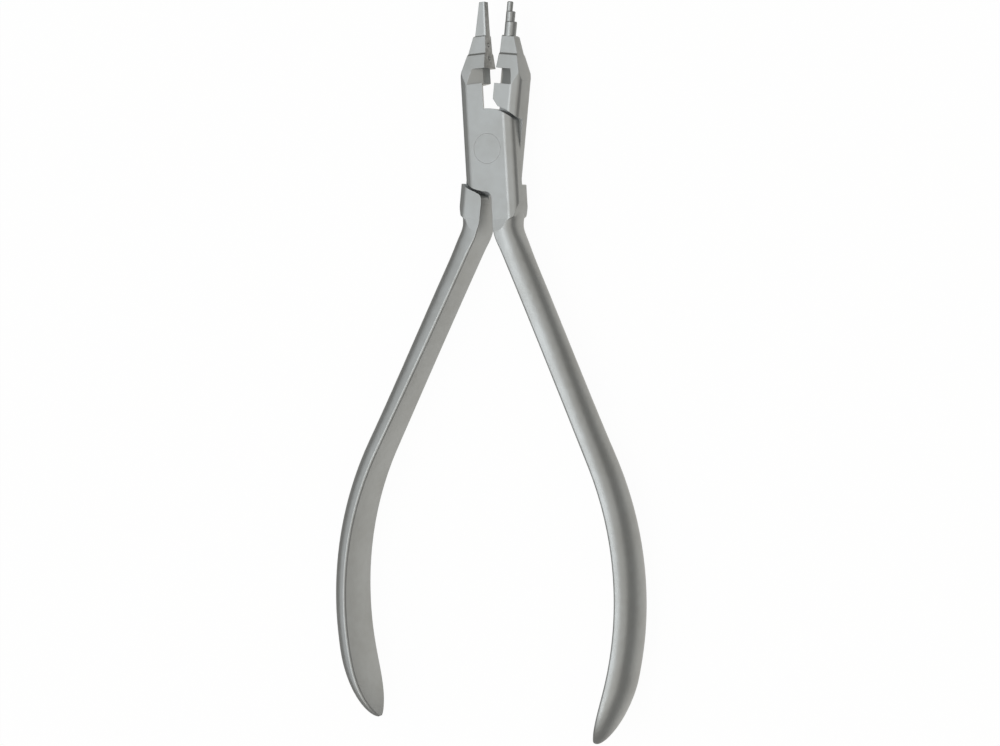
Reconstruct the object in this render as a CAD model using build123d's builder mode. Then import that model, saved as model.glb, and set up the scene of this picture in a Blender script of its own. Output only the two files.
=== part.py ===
from build123d import *
import os
from math import acos, cos, degrees, radians, sin, sqrt, tan

# Orthodontic loop-forming pliers with a wire cutter, in millimetres.
# The pliers lie flat: X to the right, Y towards the jaw tips, Z up out of the front plate.
# All pieces are drawn about the pivot's axis, with Z = 0 where the two plates meet. Each lever
# is drawn closed, with its closing face at X = 0, and is then turned open. At the end all
# pieces are set down on the plane Z = 0.

os.makedirs("parts", exist_ok=True)

# Pose and lap joint
open_angle = 4.7          # turn of each lever away from the closed position, degrees
joint_width = 10.8
joint_thickness = 6.1
joint_bevel_width = 1.6
joint_bevel_depth = 0.8
joint_edge_round = 1.2    # softens both edges of each bevel
lap_clearance = 0.03      # between the two plates
plate_radius = 7.5        # round top edge of each plate, about the pivot
jaw_recess_radius = 8.15  # hollow under the jaw block that the plate turns in
heel_radius = 8.05        # round bottom edge of each plate
heel_recess_radius = 8.5  # hollow above the shoulder block
closing_gap = 0.04        # between the two closing faces when the pliers are shut
throat_half_gap = 0.3     # from the closing plane to the edge behind the cutter
throat_relief_angle = 26  # slant of the front lever's wall below its cutter, towards the back
corner_cut = 1.2          # cut corner of the jaw block beside the throat
heel_round = 1.3          # rounding where the plate meets the handle
pin_head_diameter = 5.6
pin_head_height = 1.5
pin_shank_diameter = 3.8
pin_clearance = 0.03      # radial, where the front plate turns on the pin
pin_head_clearance = 0.02  # radial, round the head

# Jaws
tip_height = 27.7         # jaw tips, from the pivot's axis
step_two_height = 21.2    # top of the thin step, where the tips begin
step_one_height = 18.1    # top of the thick step
cutter_top = 15.2
cutter_bottom = 12.3
jaw_shoulder_height = 13.3
step_two_width = 2.6      # width of each jaw at the top of the thin step
step_slope = 0.35         # length of the slope between two thicknesses
joint_taper_height = 12.3  # where the faces begin to slope towards the tips
thick_step_thickness = 3.45
thin_step_bottom_thickness = 2.75
thin_step_top_thickness = 2.3
beak_root_width = 2.3
beak_root_thickness = 1.78
beak_tip_width = 1.1
beak_tip_thickness = 1.5
beak_facet_width = 0.38   # shallow facets beside the beak's working face
beak_facet_depth = 0.07
cutter_edge_depth = 0.95  # steep bevel beside the cutting edge, across the jaw
cutter_edge_rise = 1.2
cutter_top_width = 2.65   # front bevel's reach on the face, at its top
cutter_bottom_width = 3.65
cutter_back_top_width = 3.05  # and the back bevel's
cutter_back_bottom_width = 3.75
dimple_diameter = 0.95
dimple_depth = 0.3
dimple_heights = (19.6, 17.1)
small_round_diameter = 1.15
middle_round_diameter = 1.75
large_round_diameter = 2.25
small_round_height = 25.9  # bottom of the smallest round step
middle_round_height = 24.0
round_edge = 0.14

# Handles
handle_angle = 21.33      # slant of the straight run, away from the closing plane
handle_start = 10.2       # below the pivot's axis
neck_end = 14.1           # where the inner face leaves the closing plane
neck_bend_radius = 9.0
straight_length = 45.95
grip_bend_radius = 60.75
grip_turn = 50.9          # turn of the grip's arc, degrees
neck_half_thickness = 3.45
waist_half_thickness = 3.43
grip_half_thickness = 5.29
neck_depth = 4.75
waist_depth = 4.14
grip_depth = 3.77
neck_edge_round = 0.2     # rounding of the inner face's edges at the neck
handle_edge_round = 0.45  # and along the grip
end_round_length = 12.6   # the tongue-shaped end, along the handle
shoulder_height = 10.7    # widest place of the shoulder, below the pivot's axis
shoulder_end = 13.0
shoulder_step = 0.8       # how far the shoulder draws in to the handle
shoulder_tail_length = 1.0  # its lowest stretch, which runs out into the handle
shoulder_tail_width = 1.8
shoulder_side_round = 2.0
shoulder_round = 0.95     # set-back of the rounding at the shoulder's top outer corner
flat_end = 13.4           # where the ground joint faces stop on the neck
flat_run_out = 2.4        # length over which they fade into the handle
flat_run_out_rise = 0.43

half_width = joint_width / 2
half_thick = joint_thickness / 2
half_gap = closing_gap / 2
big = 200.0


def on_arc(radius, x):
    return sqrt(radius * radius - x * x)


def handle_point(s):
    """Point, direction angle and length share of the inner face, s along it from the start."""
    neck_run = neck_end - handle_start
    bend_run = radians(handle_angle) * neck_bend_radius
    grip_run = radians(grip_turn) * grip_bend_radius
    x = throat_half_gap
    y = -handle_start
    if s <= neck_run:
        return x, y - s, 0.0
    y -= neck_run
    s -= neck_run
    turn = min(s, bend_run) / neck_bend_radius
    x += neck_bend_radius * (1 - cos(turn))
    y -= neck_bend_radius * sin(turn)
    if s <= bend_run:
        return x, y, degrees(turn)
    s -= bend_run
    slant = radians(handle_angle)
    run = min(s, straight_length)
    x += run * sin(slant)
    y -= run * cos(slant)
    if s <= straight_length:
        return x, y, handle_angle
    turn = (s - straight_length) / grip_bend_radius
    x += grip_bend_radius * (cos(slant - turn) - cos(slant))
    y -= grip_bend_radius * (sin(slant) - sin(slant - turn))
    return x, y, handle_angle - degrees(turn)


def smooth(value, low, high):
    share = min(max((value - low) / (high - low), 0.0), 1.0)
    return share * share * (3 - 2 * share)


def handle_size(s):
    """Half thickness, depth and squareness of the D-shaped section at s."""
    half = neck_half_thickness
    half += (waist_half_thickness - neck_half_thickness) * smooth(s, 0, 9)
    half += (grip_half_thickness - waist_half_thickness) * smooth(s, 8, handle_length - 8) ** 1.15
    depth = neck_depth
    depth += (waist_depth - neck_depth) * smooth(s, 0, 5.5)
    depth += (grip_depth - waist_depth) * smooth(s, 14, 50)
    power = 3.3 - 1.0 * smooth(s, 2, 15)
    end = handle_length - end_round_length
    if s > end:
        share = (s - end) / end_round_length
        half *= (1 - share**2.68) ** 0.686
        depth *= (1 - share**1.24) ** 0.423
    return half, depth, power


handle_length = neck_end - handle_start
handle_length += radians(handle_angle) * neck_bend_radius
handle_length += straight_length
handle_length += radians(grip_turn) * grip_bend_radius


def handle_section(s):
    """D-shaped section square to the handle: flat inner face, rounded outer side."""
    x, y, angle = handle_point(s)
    half, depth, power = handle_size(s)
    along = Vector(sin(radians(angle)), -cos(radians(angle)), 0)
    outward = Vector(cos(radians(angle)), sin(radians(angle)), 0)
    edge = neck_edge_round + (handle_edge_round - neck_edge_round) * smooth(s, 4, 12)
    edge = min(edge, half * 0.3, depth * 0.25)
    start = half * (1 - (edge / depth) ** power) ** (1 / power)
    widest = acos((edge / depth) ** (power / 2))
    points = []
    for step in range(13):
        t = widest * (step / 6 - 1)
        across = cos(t) ** (2 / power) * depth
        rise = abs(sin(t)) ** (2 / power) * half
        points.append((across, rise if t > 0 else -rise))
    knee = edge * (1 - cos(radians(45)))
    with BuildSketch(Plane(origin=(x, y, 0), x_dir=outward, z_dir=along)) as section:
        with BuildLine():
            Spline(points)
            ThreePointArc((edge, start), (knee, start - knee), (0, start - edge))
            Line((0, start - edge), (0, edge - start))
            ThreePointArc((0, edge - start), (knee, knee - start), (edge, -start))
        make_face()
    return section.sketch


def beak_section(height, width, thickness, facet):
    """Rectangular section of the beak with shallow facets beside the working face."""
    inner = -half_gap
    facet_width = beak_facet_width * facet
    facet_depth = beak_facet_depth * facet
    with BuildSketch(Plane.XZ.offset(-height)) as section:
        with BuildLine():
            Polyline(
                (inner, thickness / 2 - facet_depth),
                (inner - facet_width, thickness / 2),
                (inner - width, thickness / 2),
                (inner - width, -thickness / 2),
                (inner - facet_width, -thickness / 2),
                (inner, facet_depth - thickness / 2),
                close=True,
            )
        make_face()
    return section.sketch


# Side profile of both levers: the faces slope and step down towards the tips
slope_foot = step_one_height - step_slope
tip_foot = step_two_height + step_slope / 2
with BuildSketch(Plane.YZ) as side_profile:
    with BuildLine():
        Polyline(
            (-big, half_thick),
            (joint_taper_height, half_thick),
            (slope_foot, thick_step_thickness / 2),
            (step_one_height, thin_step_bottom_thickness / 2),
            (step_two_height, thin_step_top_thickness / 2),
            (tip_foot, beak_root_thickness / 2),
            (tip_foot, -beak_root_thickness / 2),
            (step_two_height, -thin_step_top_thickness / 2),
            (step_one_height, -thin_step_bottom_thickness / 2),
            (slope_foot, -thick_step_thickness / 2),
            (joint_taper_height, -half_thick),
            (-big, -half_thick),
            close=True,
        )
    make_face()

# Section of the lap joint: a flat bar with bevelled long edges
with BuildSketch(Plane.XZ) as joint_section:
    with BuildLine():
        Polyline(
            (-half_width, -half_thick + joint_bevel_depth),
            (-half_width, half_thick - joint_bevel_depth),
            (-half_width + joint_bevel_width, half_thick),
            (half_width - joint_bevel_width, half_thick),
            (half_width, half_thick - joint_bevel_depth),
            (half_width, -half_thick + joint_bevel_depth),
            (half_width - joint_bevel_width, -half_thick),
            (-half_width + joint_bevel_width, -half_thick),
            close=True,
        )
    make_face()
    fillet(joint_section.vertices(), joint_edge_round)

# D-shaped sections along the handle. Their spacing grows evenly away from the neck and
# shrinks evenly towards the rounded end, so that the surface between them has no waves.
growing = [1.18**step for step in range(10)]
shrinking = [growing[-1] * 0.8**step for step in range(1, 13)]
spacings = growing + [growing[-1]] * 11 + shrinking
drawn_length = handle_length - end_round_length * 0.01
stations = [drawn_length * sum(spacings[:step]) / sum(spacings) for step in range(len(spacings) + 1)]
handle_sections = [handle_section(s) for s in stations]

# Cutter: a shallow bevel and a steep one on each face, meeting in a vertical edge
cutter_sections = []
rear_cutter_sections = []
cutter_levels = (
    (cutter_bottom, cutter_bottom_width, cutter_back_bottom_width),
    (cutter_top, cutter_top_width, cutter_back_top_width),
)
taper = (half_thick - thick_step_thickness / 2) / (slope_foot - joint_taper_height)
for height, front_reach, back_reach in cutter_levels:
    # The shallow bevel meets the sloping face at its reach, and is drawn on past it
    face_rise = half_thick - taper * max(height - joint_taper_height, 0)
    stretch = (half_thick + 1 - cutter_edge_rise) / (face_rise - cutter_edge_rise)
    bevels = ((1, front_reach, cutter_sections), (-1, back_reach, rear_cutter_sections))
    for side, reach, sections in bevels:
        drawn_reach = cutter_edge_depth + (reach - cutter_edge_depth) * stretch
        with BuildSketch(Plane.XZ.offset(-height)) as cutter_section:
            with BuildLine():
                Polyline(
                    (-half_gap, 0.02 * side),
                    (-cutter_edge_depth, cutter_edge_rise * side),
                    (-drawn_reach, (half_thick + 1) * side),
                    (1.0, (half_thick + 1) * side),
                    (1.0, 0.02 * side),
                    close=True,
                )
            make_face()
        sections.append(cutter_section.sketch)

# One lever without its jaw tip: plate, jaw block with cutter, shoulder block and handle.
# It is drawn as the front lever: jaw on the left, plate in front, handle on the right.
edge_x = half_width
heel_x = throat_half_gap
tail_x = edge_x - shoulder_step - shoulder_tail_width
with BuildPart() as lever_blank:
    with BuildSketch(Plane.XY) as outline:
        with BuildLine():
            Polyline(
                (-throat_half_gap, on_arc(plate_radius, throat_half_gap)),
                (-throat_half_gap, cutter_bottom),
                (-half_gap, cutter_bottom),
                (-half_gap, tip_foot),
                (-half_gap - beak_root_width, tip_foot),
                (-step_two_width, step_two_height),
                (-edge_x, jaw_shoulder_height),
                (-edge_x, -on_arc(heel_radius, edge_x)),
            )
            RadiusArc(
                (-edge_x, -on_arc(heel_radius, edge_x)),
                (heel_x, -on_arc(heel_radius, heel_x)),
                -heel_radius,
            )
            Polyline(
                (heel_x, -on_arc(heel_radius, heel_x)),
                (heel_x, -shoulder_end - shoulder_tail_length),
                (tail_x, -shoulder_end - shoulder_tail_length),
                (edge_x - shoulder_step, -shoulder_end),
                (edge_x, -shoulder_height),
                (edge_x, on_arc(plate_radius, edge_x)),
            )
            RadiusArc(
                (edge_x, on_arc(plate_radius, edge_x)),
                (-throat_half_gap, on_arc(plate_radius, throat_half_gap)),
                -plate_radius,
            )
        make_face()
        heel_corner = outline.vertices().sort_by_distance((heel_x, -on_arc(heel_radius, heel_x)))[0]
        fillet(heel_corner, heel_round)
        shoulder_side = outline.vertices().sort_by_distance((edge_x, -shoulder_height))[0]
        fillet(shoulder_side, shoulder_side_round)
    extrude(amount=half_thick, both=True)
    extrude(side_profile.sketch, amount=big, both=True, mode=Mode.INTERSECT)
    extrude(joint_section.sketch, amount=big, both=True, mode=Mode.INTERSECT)

    # Handle, then the joint faces ground flat down to the neck
    loft(handle_sections)
    with BuildSketch(Plane.YZ) as grinding:
        with BuildLine():
            Polyline(
                (-handle_start + 3, half_thick),
                (-flat_end, half_thick),
                (-flat_end - flat_run_out, half_thick + flat_run_out_rise),
                (-flat_end - flat_run_out, half_thick + 3),
                (-handle_start + 3, half_thick + 3),
                close=True,
            )
        make_face()
        mirror(about=Plane.XZ)
    extrude(amount=big, both=True, mode=Mode.SUBTRACT)

    # The other lever's plate turns in the rear half
    with BuildSketch(Plane.XY.offset(lap_clearance / 2)) as pocket:
        with BuildLine():
            Line((-jaw_recess_radius, 0), (jaw_recess_radius, 0))
            RadiusArc((-jaw_recess_radius, 0), (jaw_recess_radius, 0), jaw_recess_radius)
        make_face()
        with BuildLine():
            Line((-heel_recess_radius, 0), (heel_recess_radius, 0))
            RadiusArc((-heel_recess_radius, 0), (heel_recess_radius, 0), -heel_recess_radius)
        make_face()
    extrude(amount=-half_thick - 1, mode=Mode.SUBTRACT)
    corner_y = on_arc(jaw_recess_radius, throat_half_gap)
    with BuildSketch(Plane.XY.offset(lap_clearance / 2)) as block_corner:
        with BuildLine():
            Polyline(
                (0, corner_y - 0.5),
                (-throat_half_gap, corner_y + corner_cut),
                (-throat_half_gap - corner_cut, corner_y - 0.2),
                (-throat_half_gap - corner_cut, corner_y - 0.5),
                close=True,
            )
        make_face()
    extrude(amount=-half_thick - 1, mode=Mode.SUBTRACT)
    shoulder_y = -on_arc(heel_recess_radius, throat_half_gap)
    with BuildSketch(Plane.XY.offset(lap_clearance / 2)) as shoulder_corner:
        with BuildLine():
            Polyline(
                (heel_x - 0.5, shoulder_y + 0.5),
                (heel_x + heel_round, shoulder_y + 0.5),
                (heel_x + heel_round, shoulder_y),
            )
            RadiusArc(
                (heel_x + heel_round, shoulder_y),
                (heel_x, shoulder_y - heel_round),
                -heel_round,
            )
            Polyline(
                (heel_x, shoulder_y - heel_round),
                (heel_x - 0.5, shoulder_y - heel_round),
                (heel_x - 0.5, shoulder_y + 0.5),
            )
        make_face()
    extrude(amount=-half_thick - 1, mode=Mode.SUBTRACT)

    peak = Vector(edge_x, -on_arc(heel_recess_radius, edge_x))
    inward = Vector(peak.Y, -edge_x) / heel_recess_radius
    bisector = (inward + Vector(0, -1)).normalized()
    foot_x = edge_x + inward.X * shoulder_round
    foot = Vector(foot_x, -on_arc(heel_recess_radius, foot_x))
    with BuildSketch(Plane.XY.offset(lap_clearance / 2)) as shoulder_top:
        with BuildLine():
            Polyline(
                foot,
                (foot.X, peak.Y + 1),
                (edge_x + 1, peak.Y + 1),
                (edge_x + 1, peak.Y - shoulder_round),
                (edge_x, peak.Y - shoulder_round),
            )
            ThreePointArc(
                (edge_x, peak.Y - shoulder_round),
                peak + bisector * shoulder_round * 0.62,
                foot,
            )
        make_face()
    extrude(amount=-half_thick - 1, mode=Mode.SUBTRACT)

    # The cutter's bevels, from both faces
    loft(cutter_sections, mode=Mode.SUBTRACT)
    loft(rear_cutter_sections, mode=Mode.SUBTRACT)

# Front lever: its jaw ends in the tapered beak
head_radius = pin_head_diameter / 2
shank_radius = pin_shank_diameter / 2
beak_root = beak_section(step_two_height, beak_root_width, beak_root_thickness, 1.0)
beak_tip = beak_section(tip_height, beak_tip_width, beak_tip_thickness, 0.8)
with BuildPart() as front_lever:
    add(lever_blank.part)
    loft([beak_root, beak_tip])
    # Below its cutter the wall of the throat slants back, so that the throat stays clear
    relief = joint_thickness * tan(radians(throat_relief_angle))
    throat_floor = on_arc(plate_radius, throat_half_gap)
    with BuildSketch(Plane.XZ.offset(-throat_floor)) as throat_relief:
        with BuildLine():
            Polyline(
                (-throat_half_gap, half_thick),
                (-throat_half_gap - relief, -half_thick),
                (-throat_half_gap - relief, -half_thick - 1),
                (1, -half_thick - 1),
                (1, half_thick),
                close=True,
            )
        make_face()
    extrude(amount=-(cutter_bottom - throat_floor), mode=Mode.SUBTRACT)
    for height in dimple_heights:
        with BuildSketch(Plane.YZ.offset(-half_gap)) as dimple:
            with Locations((height, 0)):
                Circle(dimple_diameter / 2)
        extrude(amount=-dimple_depth, taper=35, mode=Mode.SUBTRACT)
    # Bore and seat of the pivot's head
    with BuildSketch(Plane.XY.offset(half_thick)) as head_seat:
        Circle(head_radius + pin_head_clearance)
    extrude(amount=-pin_head_height - pin_clearance, mode=Mode.SUBTRACT)
    with BuildSketch(Plane.XY.offset(half_thick)) as shank_bore:
        Circle(shank_radius + pin_clearance)
    extrude(amount=-joint_thickness, mode=Mode.SUBTRACT)

# Rear lever: the same blank turned half round its long axis, with the round steps
with BuildPart() as rear_lever:
    add(lever_blank.part.rotate(Axis.Y, 180))
    rounds = [
        (tip_height, small_round_height, small_round_diameter),
        (small_round_height, middle_round_height, middle_round_diameter),
        (middle_round_height, step_two_height, large_round_diameter),
    ]
    for top, bottom, diameter in rounds:
        centre = half_gap + diameter / 2
        radius = diameter / 2
        with BuildSketch(Plane.XY) as round_profile:
            with BuildLine():
                Polyline(
                    (centre, bottom - 0.3),
                    (centre + radius, bottom - 0.3),
                    (centre + radius, top - round_edge),
                    (centre + radius - round_edge, top),
                    (centre, top),
                    close=True,
                )
            make_face()
        revolve(axis=Axis((centre, 0, 0), (0, 1, 0)))
    with BuildSketch(Plane.XY) as pin_bore:
        Circle(shank_radius)
    extrude(amount=-half_thick, mode=Mode.SUBTRACT)

# Pivot pin: head flush with the front face, shank flush with the rear face
with BuildPart() as pivot_pin:
    with BuildSketch(Plane.XY.offset(half_thick - pin_head_height)) as pin_head:
        Circle(head_radius)
    extrude(amount=pin_head_height)
    with BuildSketch(Plane.XY.offset(-half_thick)) as pin_shank:
        Circle(shank_radius)
    extrude(amount=joint_thickness - pin_head_height)

front_lever.part = front_lever.part.rotate(Axis.Z, open_angle)
rear_lever.part = rear_lever.part.rotate(Axis.Z, -open_angle)

# The pliers lie on the plane Z = 0, with the origin under the middle of their box
boxes = [lever.part.bounding_box() for lever in (front_lever, rear_lever)]
low_y = min(box.min.Y for box in boxes)
high_y = max(box.max.Y for box in boxes)
low_x = min(box.min.X for box in boxes)
high_x = max(box.max.X for box in boxes)
low_z = min(box.min.Z for box in boxes)
pivot_place = (-(low_x + high_x) / 2, -(low_y + high_y) / 2, -low_z)
lying = Location(pivot_place)
front_lever.part = front_lever.part.moved(lying)
rear_lever.part = rear_lever.part.moved(lying)
pivot_pin.part = pivot_pin.part.moved(lying)

front_lever.part.label = "front_lever"
rear_lever.part.label = "rear_lever"
pivot_pin.part.label = "pivot_pin"
export_step(front_lever.part, "parts/front_lever.step")
export_step(rear_lever.part, "parts/rear_lever.step")
export_step(pivot_pin.part, "parts/pivot_pin.step")
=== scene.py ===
"""Loop-forming pliers with a wire cutter, lying on a white studio table.

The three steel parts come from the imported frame. This script gives them their satin and ground
finishes, lays out the table and the soft lights, and sets the camera where the photograph was
taken from. Lengths are in metres unless a name says otherwise.
"""
import math

import bpy
import numpy as np
from mathutils import Matrix, Vector


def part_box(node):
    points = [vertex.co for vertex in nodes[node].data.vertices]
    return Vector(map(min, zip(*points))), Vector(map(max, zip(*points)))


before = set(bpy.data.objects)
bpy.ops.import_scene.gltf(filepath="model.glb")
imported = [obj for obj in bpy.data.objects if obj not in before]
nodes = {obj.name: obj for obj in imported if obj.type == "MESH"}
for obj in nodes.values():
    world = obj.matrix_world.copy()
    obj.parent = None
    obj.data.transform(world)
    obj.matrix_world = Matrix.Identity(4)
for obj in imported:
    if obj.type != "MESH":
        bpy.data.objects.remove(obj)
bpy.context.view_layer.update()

MM = 0.001

# Colours
SATIN = (0.375, 0.390, 0.393)        # blasted steel, seen under plain light
SATIN_DEEP = (0.340, 0.350, 0.347)   # duller cloudy patches of the same finish
POLISHED = (0.560, 0.570, 0.575)     # edges rubbed bright by handling
BURNISHED_WITH_PAINTED_LIGHT = (0.500, 0.512, 0.515)    # rim of the pin's head and its seat, ground together, with painted light that lifts the shade in the crack between them
SCUFFED = (0.255, 0.258, 0.254)      # working faces of the jaws, dulled by wire
PAPER = (0.780, 0.775, 0.760)
PAPER_LIGHT = (0.820, 0.815, 0.800)
WHITE = (1.0, 1.0, 1.0)
WARM_WHITE = (1.0, 0.965, 0.905)     # the studio's walls and paper, as the steel mirrors them
COOL_WHITE = (0.960, 0.985, 1.0)     # the big softboxes
PAINTED_DIM_REFLECTION = (0.250, 0.242, 0.228)    # painted reflection: the paper as the steel mirrors it further from the steel, dim though no less light falls there

# Sizes of the blots and marks in the steel's finish
CLOUD = 9 * MM
BLOTCH = 1.6 * MM
PIT = 0.16 * MM
DRAW_LINE = 0.22 * MM                # across the line
DRAW_LINE_STRETCH = 0.05             # a line's width as a share of its length
SCUFF_PATCH = 0.9 * MM
RELIEF = 0.012 * MM
EDGE_ROUND = 0.12 * MM

# Roughness
LEVER_ROUGHNESS = 0.40
PIN_ROUGHNESS = 0.39
CLOUD_ROUGHNESS = 0.07               # spread from cloud to cloud
PIT_ROUGHNESS = 0.08
EDGE_POLISH = 0.06                   # how much smoother a rubbed edge is
SCUFF_ROUGHNESS = 0.12

# Where the pin's burnished rim and the jaws' closing faces lie
OPEN_TURN = math.radians(4.7)        # each lever's turn away from the closed position
RING_DISTANCE = 0.015 * MM           # middle of the rim, outside the pin's head
RING_WIDTH = 0.11 * MM
RING_LOW, RING_HIGH = 2.6 * MM, 2.9 * MM            # above the joint's middle: the front only
CLOSING_LOW, CLOSING_HIGH = 15.0 * MM, 15.4 * MM    # above the pivot: past the cutter
CLOSING_NEAR, CLOSING_FAR = 0.04 * MM, 0.12 * MM    # the mask fades out between these

# How the camera and the steel see the table and the air
PAPER_SEEN = 0.965                   # the rest is the lit paper, with the object's shadow
PAPER_MIRRORED = 0.80
PAPER_MOTTLE = 40 * MM
NEAR_STEEL = 14 * MM                 # reach within which the steel hides some of the sky; beyond it the painted reflection of the paper dims
SKY_LOW, SKY_HIGH = 0.78, 0.96       # share of open sky: near the steel, and out in the open
AIR_STRENGTH = 0.28                  # even light from all round
AIR_MIRRORED = 0.04                  # how much of the white air the steel mirrors besides

# Sockets of a Mix node that mixes colours, where several share a name
MIX_SHARE, MIX_FIRST, MIX_SECOND, MIX_RESULT = 0, 6, 7, 2

pin_low, pin_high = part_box("pivot_pin")
PIVOT = (pin_low + pin_high) / 2
PIN_HEAD_RADIUS = (pin_high.x - pin_low.x) / 2


# Shader maths


class Wire:
    """One output socket of a node tree; arithmetic on it adds Math nodes."""

    def __init__(self, finish, socket):
        self.finish = finish
        self.socket = socket

    def math(self, operation, *values):
        return self.finish.node("ShaderNodeMath", {"operation": operation}, values)

    def __add__(self, other):
        return self.math("ADD", self, other)

    __radd__ = __add__

    def __sub__(self, other):
        return self.math("SUBTRACT", self, other)

    def __rsub__(self, other):
        return self.math("SUBTRACT", other, self)

    def __mul__(self, other):
        return self.math("MULTIPLY", self, other)

    __rmul__ = __mul__

    def __truediv__(self, other):
        return self.math("DIVIDE", self, other)

    def __rtruediv__(self, other):
        return self.math("DIVIDE", other, self)

    def __pow__(self, other):
        return self.math("POWER", self, other)

    def __rpow__(self, other):
        return self.math("POWER", other, self)

    def or_more(self, other):
        """The larger of the two."""
        return self.math("MAXIMUM", self, other)

    def unsigned(self):
        return self.math("ABSOLUTE", self)

    def clipped(self):
        return self.finish.node("ShaderNodeClamp", {}, (self, 0.0, 1.0))

    def ramp(self, low, high):
        """0 below low, 1 above high, smooth between."""
        sockets = {"Value": self, "From Min": low, "From Max": high, "To Min": 0.0, "To Max": 1.0}
        return self.finish.node("ShaderNodeMapRange", {"interpolation_type": "SMOOTHSTEP"}, sockets)


class Finish:
    """The node tree of a material or a world under construction."""

    def __init__(self, owner):
        owner.use_nodes = True
        self.tree = owner.node_tree
        self.tree.nodes.clear()

    def node(self, kind, settings, sockets=(), out=0):
        """Add a node: its settings, then values or links for its sockets, by place or by name."""
        made = self.tree.nodes.new(kind)
        for name, value in settings.items():
            setattr(made, name, value)
        places = sockets.items() if isinstance(sockets, dict) else enumerate(sockets)
        for place, value in places:
            if isinstance(value, Wire):
                self.tree.links.new(value.socket, made.inputs[place])
            else:
                made.inputs[place].default_value = value
        return Wire(self, made.outputs[out]) if len(made.outputs) else made

    def mixed(self, share, first, second):
        """Colour between first and second."""
        first, second = (c if isinstance(c, Wire) else (*c, 1.0) for c in (first, second))
        sockets = {MIX_SHARE: share, MIX_FIRST: first, MIX_SECOND: second}
        return self.node("ShaderNodeMix", {"data_type": "RGBA"}, sockets, out=MIX_RESULT)

    def rays(self):
        """1 for what the camera sees itself, and 1 for what it sees in metal or through glass."""
        camera, glossy, transmission = (
            self.node("ShaderNodeLightPath", {}, out=ray)
            for ray in ("Is Camera Ray", "Is Glossy Ray", "Is Transmission Ray")
        )
        return camera, glossy.or_more(transmission)

    def place(self, centre=(0, 0, 0), turn=(0, 0, 0), scale=(1, 1, 1)):
        """Object coordinates, moved so that centre is their origin, then turned and scaled."""
        here = self.node("ShaderNodeTexCoord", {}, out="Object")
        sockets = (here, tuple(centre))
        moved = self.node("ShaderNodeVectorMath", {"operation": "SUBTRACT"}, sockets)
        sockets = {"Vector": moved, "Rotation": turn, "Scale": scale}
        return self.node("ShaderNodeMapping", {}, sockets)

    def noise(self, where, size, detail=2.0, roughness=0.5):
        """Noise with blots of about the given size, 0 to 1."""
        sockets = {"Vector": where, "Scale": 1.0 / size, "Detail": detail, "Roughness": roughness}
        return self.node("ShaderNodeTexNoise", {}, sockets)

    def parts(self, where):
        """The three numbers of a vector."""
        return [self.node("ShaderNodeSeparateXYZ", {}, (where,), out=axis) for axis in "XYZ"]


def rubbed_edges(finish):
    """Normal rounded at the edges, and how far it leaves the face's: 1 on edges, 0 on faces."""
    rounded = finish.node("ShaderNodeBevel", {"samples": 6}, {"Radius": EDGE_ROUND})
    face = finish.node("ShaderNodeNewGeometry", {}, out="Normal")
    settings = {"operation": "DOT_PRODUCT"}
    along = finish.node("ShaderNodeVectorMath", settings, (rounded, face), out="Value")
    return rounded, (1.0 - along).ramp(0.02, 0.30)


def pin_rim(finish):
    """1 on the front's circle where the pin's head meets its seat, 0 beside it."""
    x, y, z = finish.parts(finish.place(centre=PIVOT))
    radius = (x * x + y * y) ** 0.5
    beside = (radius - (PIN_HEAD_RADIUS + RING_DISTANCE)).unsigned() / RING_WIDTH
    return (1.0 - beside.ramp(0.35, 1.0)) * z.ramp(RING_LOW, RING_HIGH)


def closing_scuff(finish, here, jaw_side):
    """How scuffed the closing face above the cutter is, in patches.

    The face lies in a plane through the pivot, so the mask is the distance from that plane, in
    coordinates turned back by the lever's opening.
    """
    shut = finish.place(centre=PIVOT, turn=(0, 0, -jaw_side * OPEN_TURN))
    across, along, _ = finish.parts(shut)
    face = 1.0 - across.unsigned().ramp(CLOSING_NEAR, CLOSING_FAR)
    patches = finish.noise(here, SCUFF_PATCH, 3.0, 0.65).ramp(0.38, 0.62)
    return face * along.ramp(CLOSING_LOW, CLOSING_HIGH) * (0.35 + patches * 0.55)


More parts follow.
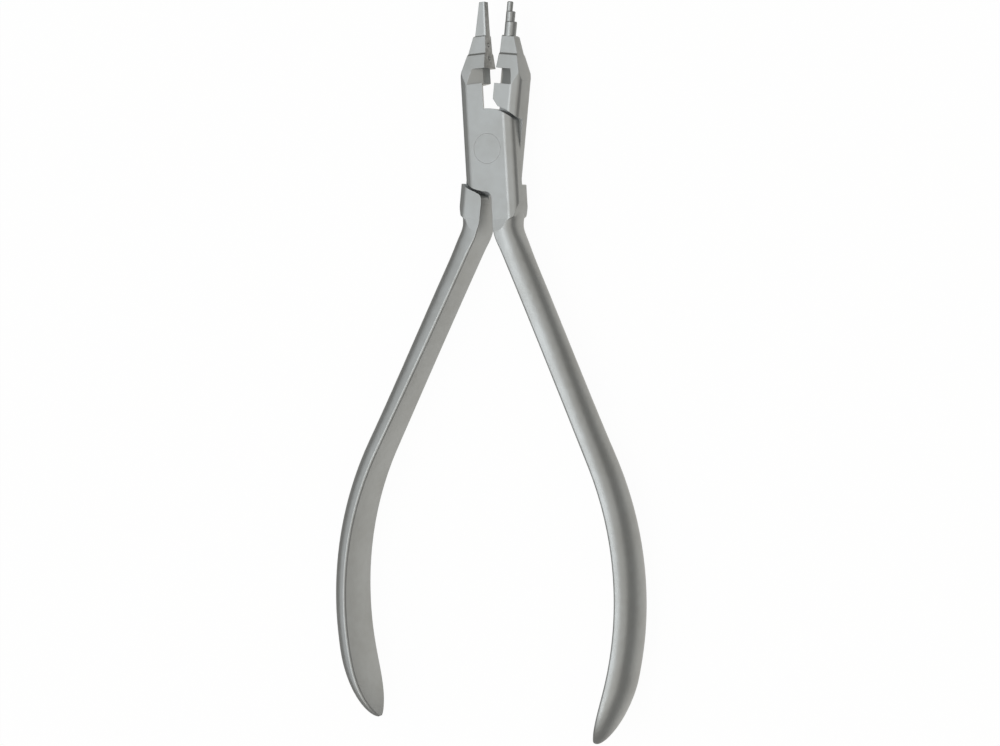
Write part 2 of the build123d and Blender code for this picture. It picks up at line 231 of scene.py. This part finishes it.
def steel(name, grain, base_roughness, ring=False, jaw_side=0):
    """Satin steel: cloudy colour, fine blasted grain, faint draw lines and rubbed edges.

    With ring, the rim of the pin's head shows lighter: burnished, with painted light over the
    shaded crack round it. With a jaw_side, 1 for a lever turned to the left and -1 for one turned
    to the right, the closing face above the cutter is scuffed.
    """
    material = bpy.data.materials.new(name)
    finish = Finish(material)
    here = finish.place()
    clouds = finish.noise(here, CLOUD, 3.0, 0.55)
    blotches = finish.noise(here, BLOTCH)
    pits = finish.noise(here, PIT, 2.0, 0.6)
    stretched = finish.place(scale=(1.0, DRAW_LINE_STRETCH, 1.0))
    lines = finish.noise(stretched, DRAW_LINE, 2.0, 0.55)
    dull = (clouds * 0.75 + blotches * 0.35 - 0.05).ramp(0.30, 0.75)
    colour = finish.mixed(dull, SATIN, SATIN_DEEP)
    rounded, edge = rubbed_edges(finish)
    colour = finish.mixed(edge * 0.35, colour, POLISHED)
    uneven = (clouds - 0.5) * CLOUD_ROUGHNESS + (pits - 0.5) * PIT_ROUGHNESS
    roughness = base_roughness + uneven - edge * EDGE_POLISH
    if ring:
        # burnished rim, with painted light over the shaded crack round the pin's head
        colour = finish.mixed(pin_rim(finish) * 0.45, colour, BURNISHED_WITH_PAINTED_LIGHT)
    if jaw_side:
        scuff = closing_scuff(finish, here, jaw_side)
        colour = finish.mixed(scuff, colour, SCUFFED)
        roughness = roughness + scuff * SCUFF_ROUGHNESS
    relief = pits * grain + lines * (0.45 * grain) + blotches * (0.25 * grain)
    sockets = {"Strength": 0.5, "Distance": RELIEF, "Height": relief, "Normal": rounded}
    bump = finish.node("ShaderNodeBump", {}, sockets)
    sockets = {
        "Base Color": colour,
        "Metallic": 1.0,
        "Roughness": roughness.clipped(),
        "Normal": bump,
    }
    shader = finish.node("ShaderNodeBsdfPrincipled", {}, sockets)
    finish.node("ShaderNodeOutputMaterial", {}, {"Surface": shader})
    return material


def dress(node, material):
    """Put one material on every slot of a part of the frame."""
    for slot in nodes[node].material_slots:
        slot.material = material


front_steel = steel("satin lever steel, front", 1.0, LEVER_ROUGHNESS, ring=True, jaw_side=1)
rear_steel = steel("satin lever steel, rear", 1.0, LEVER_ROUGHNESS, jaw_side=-1)
dress("front_lever", front_steel)
dress("rear_lever", rear_steel)
dress("pivot_pin", steel("ground pin steel", 0.9, PIN_ROUGHNESS, ring=True))


# Table


def disc(name, radius, rings, spokes):
    """Flat disc: point (i, j) lies at radius * (i / rings)^2, turned by j / spokes of a circle."""
    far = radius * (np.arange(1, rings + 1) / rings) ** 2
    turn = 2 * np.pi * np.arange(spokes) / spokes
    x = np.outer(far, np.cos(turn)).ravel()
    y = np.outer(far, np.sin(turn)).ravel()
    points = np.vstack([[(0.0, 0.0, 0.0)], np.column_stack([x, y, np.zeros_like(x)])])
    ring, spoke = np.meshgrid(np.arange(rings - 1), np.arange(spokes), indexing="ij")
    inner = 1 + ring * spokes + spoke
    beside = 1 + ring * spokes + (spoke + 1) % spokes
    quads = np.stack([inner, inner + spokes, beside + spokes, beside], axis=-1).reshape(-1, 4)
    first = 1 + np.arange(spokes)
    fan = np.column_stack([np.zeros(spokes, int), first, 1 + first % spokes])
    mesh = bpy.data.meshes.new(name)
    mesh.from_pydata(points.tolist(), [], fan.tolist() + quads.tolist())
    made = bpy.data.objects.new(name, mesh)
    bpy.context.scene.collection.objects.link(made)
    return made


def table_paper():
    """White paper, which the steel mirrors as a painted reflection: a glow, dimmer further away
    from the steel, not because less light falls there.
    """
    material = bpy.data.materials.new("white table paper")
    finish = Finish(material)
    colour = finish.mixed(finish.noise(finish.place(), PAPER_MOTTLE), PAPER, PAPER_LIGHT)
    paper = finish.node("ShaderNodeBsdfDiffuse", {}, {"Color": colour})
    camera, reflected = finish.rays()
    sockets = {"Distance": NEAR_STEEL}
    # The steel sees the paper as a glow, a painted reflection: warm white near the steel and dim
    # further out, set by the ambient-occlusion mask.
    sky = finish.node("ShaderNodeAmbientOcclusion", {"samples": 6}, sockets, out="AO")
    painted_reflection = finish.mixed(1.0 - sky.ramp(SKY_LOW, SKY_HIGH), PAINTED_DIM_REFLECTION, WARM_WHITE)
    tint = finish.mixed(camera, painted_reflection, WHITE)
    white = finish.node("ShaderNodeEmission", {}, {"Color": tint, "Strength": 1.0})
    seen = (camera * PAPER_SEEN).or_more(reflected * PAPER_MIRRORED)
    mix = finish.node("ShaderNodeMixShader", {}, (seen, paper, white))
    finish.node("ShaderNodeOutputMaterial", {}, {"Surface": mix})
    return material


table = disc("table", radius=3.0, rings=24, spokes=64)
table.data.materials.append(table_paper())


# Lights


def softbox(name, azimuth, elevation, distance, width, height, brightness, colour):
    """Area lamp facing the middle of the pliers: place in degrees, brightness where 1 is white."""
    lamp = bpy.data.lights.new(name, "AREA")
    lamp.shape = "RECTANGLE"
    lamp.size = width
    lamp.size_y = height
    lamp.energy = brightness * math.pi * width * height
    lamp.color = colour
    made = bpy.data.objects.new(name, lamp)
    around, up = math.radians(azimuth), math.radians(elevation)
    outward = math.cos(up)
    way = Vector((math.cos(around) * outward, math.sin(around) * outward, math.sin(up)))
    made.location = way * distance
    side = Vector((0.0, 1.0, 0.0)).cross(way).normalized()
    made.rotation_euler = Matrix((side, way.cross(side), way)).transposed().to_euler()
    bpy.context.scene.collection.objects.link(made)


softbox("broad softbox", 180, 62, 1.4, 2.5, 2.8, 0.67, COOL_WHITE)
softbox("strip light", 180, 83, 1.3, 0.38, 2.8, 1.75, COOL_WHITE)
softbox("fill softbox", 0, 53, 1.4, 1.6, 2.4, 0.55, WARM_WHITE)
softbox("jaw end softbox", 90, 38, 1.5, 2.4, 1.3, 0.10, WARM_WHITE)
softbox("handle end softbox", 270, 38, 1.5, 2.4, 1.3, 0.45, WARM_WHITE)


def studio_air():
    """Even light from all round, which the camera sees as white."""
    world = bpy.data.worlds.new("studio air")
    finish = Finish(world)
    camera, reflected = finish.rays()
    white = camera.or_more(reflected * AIR_MIRRORED)
    sockets = {
        "Color": finish.mixed(white, WARM_WHITE, WHITE),
        "Strength": AIR_STRENGTH + white * (1.0 - AIR_STRENGTH),
    }
    air = finish.node("ShaderNodeBackground", {}, sockets)
    finish.node("ShaderNodeOutputWorld", {}, {"Surface": air})
    return world


bpy.context.scene.world = studio_air()
bpy.context.scene.view_settings.view_transform = "Standard"


# Camera

VIEW_TURN = math.radians(27.41)      # how far the camera stands to the right of square-on
VIEW_RISE = math.radians(3.60)       # and how far towards the jaws
VIEW_ROLL = math.radians(0.93)
CAMERA_DISTANCE = 450 * MM
SLIDE_RIGHT = 1.03 * MM
SLIDE_DOWN = 42.26 * MM
FOCAL_PIXELS = 2385.0
IMAGE_WIDTH = 1000.0                 # pixels
SENSOR_WIDTH = 36.0                  # millimetres, as cameras take it

toward = Vector(
    (
        math.sin(VIEW_TURN) * math.cos(VIEW_RISE),
        math.sin(VIEW_RISE),
        math.cos(VIEW_TURN) * math.cos(VIEW_RISE),
    )
)
level = Vector((math.cos(VIEW_TURN), 0.0, -math.sin(VIEW_TURN)))
upright = toward.cross(level)
right = level * math.cos(VIEW_ROLL) + upright * math.sin(VIEW_ROLL)
up = upright * math.cos(VIEW_ROLL) - level * math.sin(VIEW_ROLL)
stand = PIVOT + toward * CAMERA_DISTANCE + right * SLIDE_RIGHT - up * SLIDE_DOWN

lens = bpy.data.cameras.new("camera")
lens.sensor_fit = "HORIZONTAL"
lens.sensor_width = SENSOR_WIDTH
lens.lens = SENSOR_WIDTH * FOCAL_PIXELS / IMAGE_WIDTH
lens.clip_start = 0.01
lens.clip_end = 20.0
camera = bpy.data.objects.new("camera", lens)
camera.matrix_world = Matrix(
    (
        (right.x, up.x, toward.x, stand.x),
        (right.y, up.y, toward.y, stand.y),
        (right.z, up.z, toward.z, stand.z),
        (0.0, 0.0, 0.0, 1.0),
    )
)
bpy.context.scene.collection.objects.link(camera)
bpy.context.scene.camera = camera

bpy.context.view_layer.update()
